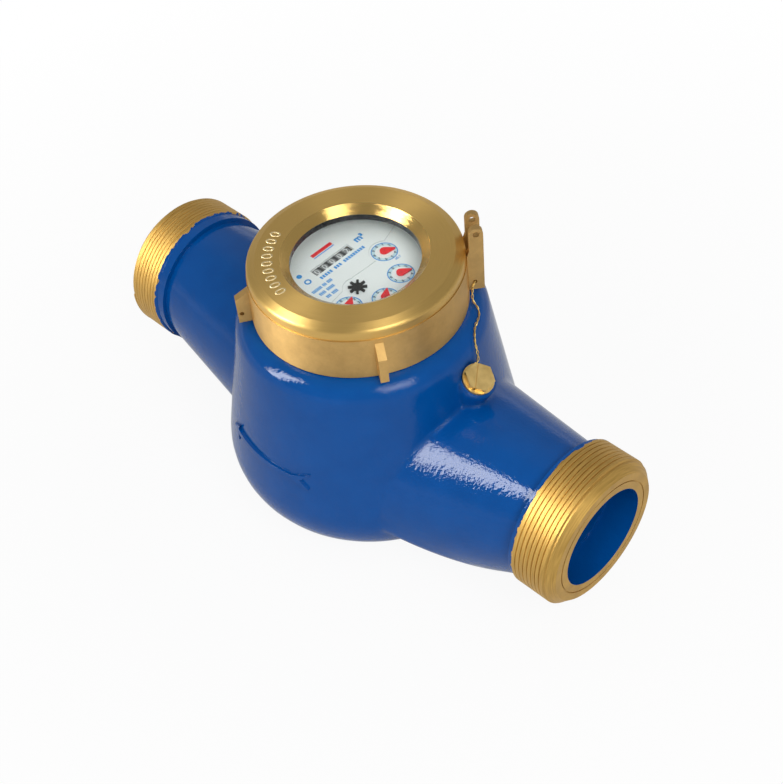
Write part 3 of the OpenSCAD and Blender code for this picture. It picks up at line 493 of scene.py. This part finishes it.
dial_white = grained("dial_white", white_light, white_dark, roughness=0.42, size=250, bump=0.03)
# Painted shade: faces of the step that tilt away from upright are coloured grey, as the shade along its low
# edge.
dial_white_edge_shade = grained("dial_white_painted_edge_shade", white_light, white_dark, roughness=0.42, size=250, bump=0.03)
tree = dial_white_edge_shade.node_tree
upright = add(tree, "SeparateXYZ", {0: add(tree, "NewGeometry").outputs["Normal"]}).outputs[2]
tint_where(dial_white_edge_shade, maths(tree, "LESS_THAN", upright, edge_slope), painted_edge_shade)
coat_nodes(dial_white, "dial_plate")
coat_with(dial_white_edge_shade, step)
coat_nodes(steel, "dial_screws")


def film_ring(place, outer, inner, lift=ink_depth):
    """A flat printed ring on the dial."""
    deselect()
    bpy.ops.mesh.primitive_circle_add(vertices=72, radius=outer, location=(*place, dial_top + lift))
    o = bpy.context.object
    bpy.ops.object.mode_set(mode="EDIT")
    bpy.ops.mesh.select_all(action="SELECT")
    bpy.ops.mesh.extrude_region()
    bpy.ops.transform.resize(value=(inner / outer,) * 3, center_override=o.location)
    bpy.ops.object.mode_set(mode="OBJECT")
    return o


def film_bar(place, length, width, turn=90.0, lift=ink_depth):
    """A flat printed bar that reads from left to right across the dial."""
    deselect()
    bpy.ops.mesh.primitive_plane_add(size=1, location=(*place, dial_top + lift),
                                     rotation=(0, 0, math.radians(turn)))
    o = bpy.context.object
    o.scale = (length, width, 1)
    bpy.ops.object.mode_set(mode="EDIT")
    bpy.ops.mesh.select_all(action="SELECT")
    bpy.ops.mesh.bevel(offset=width * 0.2, affect="VERTICES", segments=2)
    bpy.ops.object.mode_set(mode="OBJECT")
    return o


def film_words(words, size, place, lift=ink_depth, bold=0.0):
    """Flat printed figures, upright for the reader."""
    o = flat_words(words, size, bold)
    o.location = (*place, dial_top + lift)
    o.rotation_euler = (0, 0, math.radians(90))
    return o


def printed(pieces, name, material):
    """Joins flat prints of one colour into a thin film that lies on the dial."""
    for o in pieces:
        fix_place(o)
    o = join(pieces)
    bpy.ops.object.mode_set(mode="EDIT")
    bpy.ops.mesh.select_all(action="SELECT")
    bpy.ops.mesh.remove_doubles(threshold=1e-7)
    bpy.ops.object.mode_set(mode="OBJECT")
    for face in o.data.polygons:
        if face.normal.z < 0:
            face.flip()
    o.data.update()
    thicken(o, ink_depth)
    settle(o, name)
    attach(o, "meter_body")
    coat_with(material, o)


blue_ink = ink("blue_ink", (0.008, 0.3, 0.76), (0.005, 0.25, 0.67))
red_ink = ink("red_ink", (0.92, 0.02, 0.035), (0.82, 0.014, 0.026))
pale_ink = ink("pale_blue_ink", (0.6, 0.78, 0.84), (0.54, 0.73, 0.8), roughness=0.42)
dark_ink = ink("dark_ink", (0.02, 0.05, 0.12), (0.01, 0.03, 0.08))
upper, second = step_height + ink_depth, 2 * ink_depth
blue, pale, dark = [], [], []

# Each pointer has a pale band with a blue rim, ten ticks and figures, and its factor beside it.
scale_radius, scale_line = 0.0066, 0.00045
band_outer, band_inner = 0.0064, 0.0046
tick_reach, tick_length, tick_width = 0.0061, 0.0007, 0.00032
scale_figure_size, scale_figure_reach, scale_bold = 0.0021, 0.00525, 0.00005
factor_below, factor_outward = 0.0079, 0.0013
for place, factor in zip(pointer_places, ("x0.1", "x0.01", "x0.001", "x0.0001")):
    pale.append(film_ring(place, band_outer, band_inner))
    blue.append(film_ring(place, scale_radius, scale_radius - scale_line, second))
    for k in range(10):
        a = math.radians(180 - 36 * k)
        out = Vector((math.cos(a), math.sin(a)))
        blue.append(film_bar(place + out * tick_reach, tick_length, tick_width, math.degrees(a), second))
        figure_place = place + out * scale_figure_reach
        dark.append(film_words(str(k), scale_figure_size, figure_place, second, scale_bold))
    factor_place = place + Vector((factor_below, 0)) + place.normalized() * factor_outward
    blue.append(film_words(factor, scale_figure_size, factor_place, second, scale_bold))

# The unit stands beside the counter, with a dot and a ring opposite.
unit_size, unit_place, unit_bold = 0.0056, (-0.0186, 0.0196), 0.00022
dot_place, dot_radius, dot_hole = (-0.021, -0.0184), 0.0014, 0.0001
ring_place, ring_radius, ring_hole = (-0.0152, -0.0182), 0.0018, 0.001
blue.append(film_words("m³", unit_size, unit_place, upper, unit_bold))
blue.append(film_ring(dot_place, dot_radius, dot_hole, upper))
blue.append(film_ring(ring_place, ring_radius, ring_hole, upper))

# Rows of short bars in groups fill the face under the counter: place, start, end and group sizes.
bar_height, bar_share = 0.0019, 0.7
rows = [(-0.0122, -0.0128, 0.0168, (5, 3, 9)), (-0.0079, -0.0222, -0.0095, (8, 3, 4)),
        (-0.0043, -0.0209, -0.0115, (4, 5)), (-0.0007, -0.0198, -0.0127, (3, 4))]
for x, start, end, groups in rows:
    pace = (end - start) / (sum(groups) + len(groups) - 1)
    y = start
    for group in groups:
        for _ in range(group):
            blue.append(film_bar((x, y + pace / 2), pace * bar_share, bar_height, lift=upper))
            y += pace
        y += pace

# A red bar, with a finer blue one under it, heads the counter.
head_y, head_length = 0.0017, 0.0132
red_x, red_width = -0.0265, 0.0021
under_x, under_width = -0.0246, 0.0006
blue.append(film_bar((under_x, head_y), head_length, under_width, lift=upper))
printed(blue, "dial_print_blue", blue_ink)
printed(pale, "dial_print_pale", pale_ink)
printed(dark, "dial_print_figures", dark_ink)
printed([film_bar((red_x, head_y), head_length, red_width, lift=upper)], "dial_print_red", red_ink)


# Pointers and flow star: red hands pressed on ivory arbors, and a black star that turns
# with the smallest flow, all above the dial.
tip_start, tip_red = dial_top + 0.0003, (0.75, 0.02, 0.027)
red_plastic = grained("red_moulding", (0.95, 0.014, 0.024), (0.86, 0.01, 0.018), roughness=0.3, size=700)
painted_arbor = grained("arbor_with_red_tip", ivory_light, ivory_dark, roughness=0.42, size=700)
tree = painted_arbor.node_tree
height = add(tree, "SeparateXYZ", {0: add(tree, "TexCoord").outputs["Object"]}).outputs[2]
tint_where(painted_arbor, maths(tree, "GREATER_THAN", height, tip_start), tip_red)
star_black = grained("star_black", (0.012, 0.012, 0.011), (0.007, 0.007, 0.006), roughness=0.5, size=800)
star_black.node_tree.nodes["Principled BSDF"].inputs["Specular IOR Level"].default_value = 0.25
coat_nodes(red_plastic, *(f"pointer_hand_{i}" for i in range(1, 5)))
coat_nodes(painted_arbor, *(f"pointer_arbor_{i}" for i in range(1, 5)))
coat_nodes(star_black, "star_wheel")


# Lens and what holds it: a flat glass disc, clamped under the ring's lip by a slip ring and sealed
# against the register case by a rubber gasket. Shadow and diffuse rays go straight through it.
glass_tint, clear_tint = (0.97, 0.99, 0.985, 1), (0.95, 0.97, 0.965, 1)
smear_scale, smear_most = 60.0, 0.035
# The index is lower than that of glass, so that the dial sits where the photograph shows it.
lens_index = 1.15
glass, tree, shader = new_material("lens_glass")
shader.inputs["Base Color"].default_value = glass_tint
shader.inputs["Transmission Weight"].default_value = 1.0
shader.inputs["IOR"].default_value = lens_index
shader.inputs["Coat Weight"].default_value = 0.25
smear = noise(tree, add(tree, "TexCoord").outputs["Object"], smear_scale, detail=4.0)
tree.links.new(ramp(tree, smear, 0.5, 0.75, 0.0, smear_most), shader.inputs["Roughness"])
clear = add(tree, "BsdfTransparent", {"Color": clear_tint})
rays = add(tree, "LightPath")
straight = maths(tree, "MAXIMUM", rays.outputs["Is Shadow Ray"], rays.outputs["Is Diffuse Ray"])
pass_light = add(tree, "MixShader", {0: straight, 1: shader.outputs[0], 2: clear.outputs[0]})
tree.links.new(pass_light.outputs[0], tree.nodes["Material Output"].inputs["Surface"])
coat_nodes(glass, "glass_lens")
coat_nodes(white_plastic, "slip_ring")
coat_nodes(black_rubber, "lens_gasket")


# Head ring: a brass casting screwed on the neck. Its wall, lugs and ears stay as cast,
# its top flat, bevel and rounded edge are turned bright, and the wall under its lip is painted black as
# shade.
ring_top = 0.1456
lens_opening, bevel_start, bevel_depth = 0.0312, 0.0355, 0.0036
turned_depth, turned_radius = 0.0071, 0.05175
lip_margin, lip_drop = 0.0002, 0.0001
line_count, streak_count = 5000.0, 3.0
upright_stretch = (900.0, 900.0, 160.0)
cast_light, cast_dark = (0.68, 0.44, 0.162, 1), (0.57, 0.362, 0.128, 1)
turned_light, turned_dark = (0.78, 0.52, 0.17), (0.63, 0.405, 0.12)
# Painted shade: black for the shaded inner wall under the lens lip.
painted_lip_shade = (0.012, 0.011, 0.01)
turned_tree, turned_in, turned_out = new_group(
    "turned_lines", [("Position", "Vector", None), ("Lines", "Float", 4000.0)],
    [("Height", "Float"), ("Streak", "Float")])
split = add(turned_tree, "SeparateXYZ", {0: turned_in.outputs["Position"]})
radius = off_axis(turned_tree, split.outputs[0], split.outputs[1])
travel = maths(turned_tree, "MULTIPLY", maths(turned_tree, "ADD", radius, split.outputs[2]),
               turned_in.outputs["Lines"])
line = add(turned_tree, "TexNoise", {"W": travel, "Scale": 1.0, "Detail": 2.0}, noise_dimensions="1D")
angle = maths(turned_tree, "ARCTAN2", split.outputs[1], split.outputs[0])
round_ring = maths(turned_tree, "MULTIPLY", angle, streak_count)
streak_place = add(turned_tree, "CombineXYZ", {0: travel, 1: round_ring}).outputs[0]
turned_tree.links.new(line.outputs["Fac"], turned_out.inputs["Height"])
turned_tree.links.new(noise(turned_tree, streak_place, detail=3.0), turned_out.inputs["Streak"])

ring_brass, tree, shader = new_material("cast_and_turned_brass")
place = add(tree, "TexCoord").outputs["Object"]
split = add(tree, "SeparateXYZ", {0: place})
height = split.outputs[2]
radius = off_axis(tree, split.outputs[0], split.outputs[1])
turned = both_true(tree, maths(tree, "GREATER_THAN", height, ring_top - turned_depth),
                   maths(tree, "LESS_THAN", radius, turned_radius))
# Painted shade: the inner wall under the lip is coloured black and non-metallic, standing in for the shadow
# there.
shaded_under_lip = both_true(tree, maths(tree, "LESS_THAN", radius, lens_opening + lip_margin),
                      maths(tree, "LESS_THAN", height, ring_top - bevel_depth - lip_drop))
lines = add(tree, "Group", {"Position": place, "Lines": line_count}, node_tree=turned_tree)
cast = add(tree, "Group", {"Position": place, "Size": 700.0, "Light": cast_light, "Dark": cast_dark},
           node_tree=grain_tree)
turned_tone = blend_colours(tree, lines.outputs["Streak"], turned_dark, turned_light)
brass_tone = blend_colours(tree, turned, cast.outputs["Colour"], turned_tone)
tree.links.new(blend_colours(tree, shaded_under_lip, brass_tone, painted_lip_shade), shader.inputs["Base Color"])
tree.links.new(maths(tree, "SUBTRACT", 1.0, shaded_under_lip), shader.inputs["Metallic"])
cast_rough = maths(tree, "MULTIPLY_ADD", cast.outputs["Height"], 0.2, 0.42)
satin_rough = maths(tree, "MULTIPLY_ADD", lines.outputs["Streak"], 0.1, 0.36)
on_bevel = maths(tree, "LESS_THAN", radius, bevel_start)
turned_rough = maths(tree, "MULTIPLY_ADD", on_bevel, -0.22, satin_rough)
tree.links.new(blend_values(tree, turned, cast_rough, turned_rough), shader.inputs["Roughness"])
upright_marks = noise(tree, stretched(tree, place, upright_stretch), detail=4.0)
cast_height = maths(tree, "MULTIPLY_ADD", cast.outputs["Height"], 0.8, upright_marks)
ring_height = blend_values(tree, turned, cast_height, lines.outputs["Height"])
relief = add(tree, "Bump", {"Strength": 0.3, "Distance": 0.00012, "Height": ring_height})
tree.links.new(relief.outputs[0], shader.inputs["Normal"])
shader.inputs["Anisotropic"].default_value = 0.75
shader.inputs["Anisotropic Rotation"].default_value = 0.25
coat_nodes(ring_brass, "head_ring")


# Stamped row: plain noughts struck into the ring's turned flat with a punch.
# Their lines are a paler brass than the flat: a painted highlight for the light that the punched edges catch.
# Pitch and middle of the row are in degrees round the ring.
stamp_radius, stamp_pitch, stamp_middle, stamp_count = 0.0415, 7.25, 230.5, 9
stamp_size, stamp_bold, stamp_film = 0.0078, 0.00008, 0.00003
# Painted highlight: pale brass colours for the punched lines.
stamp_highlight_light, stamp_highlight_dark = (0.95, 0.8, 0.48), (0.85, 0.66, 0.34)
noughts = []
for k in range(stamp_count):
    a = math.radians(stamp_middle + stamp_pitch * (k - (stamp_count - 1) / 2))
    nought = flat_words("0", stamp_size, stamp_bold)
    nought.location = (stamp_radius * math.cos(a), stamp_radius * math.sin(a), ring_top + stamp_film)
    nought.rotation_euler = (0, 0, a + math.pi / 2)
    fix_place(nought)
    noughts.append(nought)
stamped_row = settle(join(noughts), "stamped_row")
thicken(stamped_row, stamp_film)
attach(stamped_row, "meter_body")
stamp_highlight_brass = grained("stamped_brass_painted_highlight", stamp_highlight_light, stamp_highlight_dark, roughness=0.5, metallic=1.0, size=900)
coat_with(stamp_highlight_brass, stamped_row)


# Regulator plug: a turned brass plug with a low hexagon and a saw cut, screwed down on a brown
# fibre washer over the brass regulating screw. The seal wire ends in the hole under the cut.
plug_light, plug_dark = (0.93, 0.68, 0.27), (0.76, 0.52, 0.18)
plug_brass = grained("plug_brass", plug_light, plug_dark, roughness=0.44, metallic=1.0,
                     size=500, bump=0.12, depth=0.0001)
brown_fibre = grained("brown_fibre", (0.2, 0.1, 0.05), (0.12, 0.055, 0.028), roughness=0.7, size=900)
coat_nodes(turned_brass, "regulating_screw")
coat_nodes(plug_brass, "regulator_plug")
coat_nodes(brown_fibre, "plug_washer")


# Seal wire: two drawn brass strands twisted together, threaded through the hinge ear's
# lower hole and led down to the hole through the regulator plug. The route is in millimetres.
wire_route = [(39, 39, 123), (40, 38.5, 123), (40.5, 36, 122), (42, 34, 121), (44.5, 31.5, 118.5),
              (48.5, 30.5, 116.5), (51, 28.5, 115), (53, 25, 115), (54.5, 21.5, 114.5), (57, 18.5, 113.5),
              (59.5, 16, 111.5), (61.5, 15, 108.5), (62.5, 14.5, 105), (63.5, 12.5, 103.5), (64.5, 11, 102.5)]
strand_radius = 0.00024
twist_pitch, loose_every = 0.0062, 0.0165
tight_spread, loose_spread = 1.05, 0.9
wire_light, wire_dark = (0.85, 0.62, 0.2), (0.68, 0.46, 0.12)


def smooth_path(points, steps):
    """Points of a smooth curve through the given ones."""
    p = [Vector(q) for q in points]
    p = [2 * p[0] - p[1]] + p + [2 * p[-1] - p[-2]]
    out = []
    for i in range(1, len(p) - 2):
        for k in range(steps):
            t = k / steps
            out.append(0.5 * (2 * p[i] + (p[i + 1] - p[i - 1]) * t
                              + (2 * p[i - 1] - 5 * p[i] + 4 * p[i + 1] - p[i + 2]) * t ** 2
                              + (3 * p[i] - 3 * p[i + 1] + p[i + 2] - p[i - 1]) * t ** 3))
    out.append(p[-2])
    return out


wire_path = [q / 1000 for q in smooth_path(wire_route, 12)]
strands = []
for phase in (0, math.pi):
    strand_line, run = [], 0
    for i, q in enumerate(wire_path):
        along = (wire_path[min(i + 1, len(wire_path) - 1)] - wire_path[max(i - 1, 0)]).normalized()
        side = along.cross(Vector((0, 0, 1))).normalized()
        over = side.cross(along)
        turn = 2 * math.pi * run / twist_pitch + phase
        loose = math.sin(math.pi * run / loose_every) ** 4
        spread = strand_radius * (tight_spread + loose_spread * loose)
        strand_line.append(q + spread * (math.cos(turn) * side + math.sin(turn) * over))
        if i + 1 < len(wire_path):
            run += (wire_path[i + 1] - q).length
    curve = bpy.data.curves.new("strand", "CURVE")
    curve.dimensions = "3D"
    curve.bevel_depth = strand_radius
    curve.bevel_resolution = 3
    curve.use_fill_caps = True
    spline = curve.splines.new("POLY")
    spline.points.add(len(strand_line) - 1)
    for point, q in zip(spline.points, strand_line):
        point.co = (*q, 1)
    strand = bpy.data.objects.new("strand", curve)
    scene.collection.objects.link(strand)
    pick(strand)
    bpy.ops.object.convert(target="MESH")
    strands.append(bpy.context.object)
seal_wire = settle(join(strands), "seal_wire_twist")
bpy.ops.object.shade_smooth()
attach(seal_wire, "meter_body")
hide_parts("seal_wire")
wire_brass = grained("drawn_wire_brass", wire_light, wire_dark, roughness=0.32, metallic=1.0, size=1500)
coat_with(wire_brass, seal_wire)


# Floor and backdrop: a white sweep under the meter and a white studio round it. Both show white
# to the camera, greyer to reflections, and the floor still takes the meter's shadow.
floor_radius, floor_drop = 4.0, 0.0002
floor_grey = (0.62, 0.62, 0.62, 1)
shadow_near, shadow_far, near_white, mirrored_white = 0.15, 0.5, 0.93, 0.25
horizon_start, horizon_end, high_white = 0.02, 0.22, 0.38
panel_way, panel_start, panel_end, panel_white = (-0.507, 0.45, 0.735), 0.72, 0.97, 0.5
fill_light = 0.36


def in_mirror(tree, rays):
    """Tells rays that come off metal or through glass."""
    return maths(tree, "MAXIMUM", rays.outputs["Is Glossy Ray"], rays.outputs["Is Transmission Ray"])


deselect()
bpy.ops.mesh.primitive_circle_add(vertices=96, radius=floor_radius, fill_type="NGON",
                                  location=(0, 0, -floor_drop))
floor = bpy.context.object
floor.name = "floor"
sweep, tree, shader = new_material("white_sweep")
shader.inputs["Base Color"].default_value = floor_grey
shader.inputs["Roughness"].default_value = 0.8
glow = add(tree, "Emission", {"Color": (1, 1, 1, 1), "Strength": 1.0})
rays = add(tree, "LightPath")
place = add(tree, "TexCoord").outputs["Object"]
away = add(tree, "VectorMath", {0: place}, operation="LENGTH").outputs["Value"]
whiter = ramp(tree, away, shadow_near, shadow_far, near_white, 1.0)
white_share = maths(tree, "MAXIMUM", maths(tree, "MULTIPLY", rays.outputs["Is Camera Ray"], whiter),
                    maths(tree, "MULTIPLY", in_mirror(tree, rays), mirrored_white))
shown = add(tree, "MixShader", {0: white_share, 1: shader.outputs[0], 2: glow.outputs[0]})
tree.links.new(shown.outputs[0], tree.nodes["Material Output"].inputs["Surface"])
coat_with(sweep, floor)
world = bpy.data.worlds.new("studio")
scene.world = world
world.use_nodes = True
tree = world.node_tree
background = tree.nodes["Background"]
background.inputs["Color"].default_value = (1, 1, 1, 1)
way = add(tree, "TexCoord").outputs["Generated"]
way = add(tree, "VectorMath", {0: way}, operation="NORMALIZE").outputs[0]
level = add(tree, "SeparateXYZ", {0: way}).outputs[2]
horizon = ramp(tree, level, horizon_start, horizon_end, 1.0, high_white)
toward = add(tree, "VectorMath", {0: way, 1: panel_way}, operation="DOT_PRODUCT").outputs["Value"]
panel = ramp(tree, toward, panel_start, panel_end, 0.0, panel_white)
rays = add(tree, "LightPath")
lit = blend_values(tree, in_mirror(tree, rays), fill_light, maths(tree, "MAXIMUM", horizon, panel))
tree.links.new(blend_values(tree, rays.outputs["Is Camera Ray"], lit, 1.0), background.inputs["Strength"])


# Lights: a tall box on the left that gives only reflections, a square one on the right,
# and two broad fills that show in no reflection.


def soft_box(name, place, aim_at, width, depth, power):
    """A rectangular lamp that faces a point."""
    lamp = bpy.data.lights.new(name, "AREA")
    lamp.shape = "RECTANGLE"
    lamp.size, lamp.size_y = width, depth
    lamp.energy = power
    o = bpy.data.objects.new(name, lamp)
    o.location = place
    o.rotation_euler = (Vector(aim_at) - Vector(place)).to_track_quat("-Z", "Y").to_euler()
    scene.collection.objects.link(o)
    return o


left_box = soft_box("left_box", (-0.52, -0.82, 0.75), (0.03, 0, 0.07), width=0.28, depth=0.8, power=14.5)
left_box.visible_diffuse = False
soft_box("right_box", (0.85, -0.25, 1.0), (0.03, 0, 0.1), width=0.5, depth=0.5, power=7)
overhead = soft_box("overhead_fill", (0.0, -0.1, 1.3), (0, 0, 0.1), width=1.2, depth=1.2, power=4.5)
front = soft_box("front_fill", (0.1, -1.1, 0.5), (0, 0, 0.06), width=1.0, depth=0.6, power=5)
for fill in (overhead, front):
    fill.visible_glossy = False


# Camera: a short telephoto lens above the inlet end, looking down on the dial,
# with the small roll that the photographed meter shows in its frame.
azimuth, elevation, roll = (math.radians(a) for a in (48.46, 47.32, -6.16))
aim = Vector((0.01379, 0.00123, 0.05753))
distance = 0.71037
sensor_width, focal_pixels, picture_pixels = 36, 1400, 784
back = Vector((math.sin(azimuth) * math.cos(elevation), -math.cos(azimuth) * math.cos(elevation),
               math.sin(elevation)))
level_right = Vector((math.cos(azimuth), math.sin(azimuth), 0))
level_up = back.cross(level_right)
right = math.cos(roll) * level_right + math.sin(roll) * level_up
up = math.cos(roll) * level_up - math.sin(roll) * level_right
camera = bpy.data.objects.new("camera", bpy.data.cameras.new("camera"))
camera.data.sensor_width = sensor_width
camera.data.lens = focal_pixels * sensor_width / picture_pixels
camera.data.clip_start = 0.01
camera.matrix_world = Matrix((right, up, back)).transposed().to_4x4()
camera.matrix_world.translation = aim + distance * back
scene.collection.objects.link(camera)
scene.camera = camera
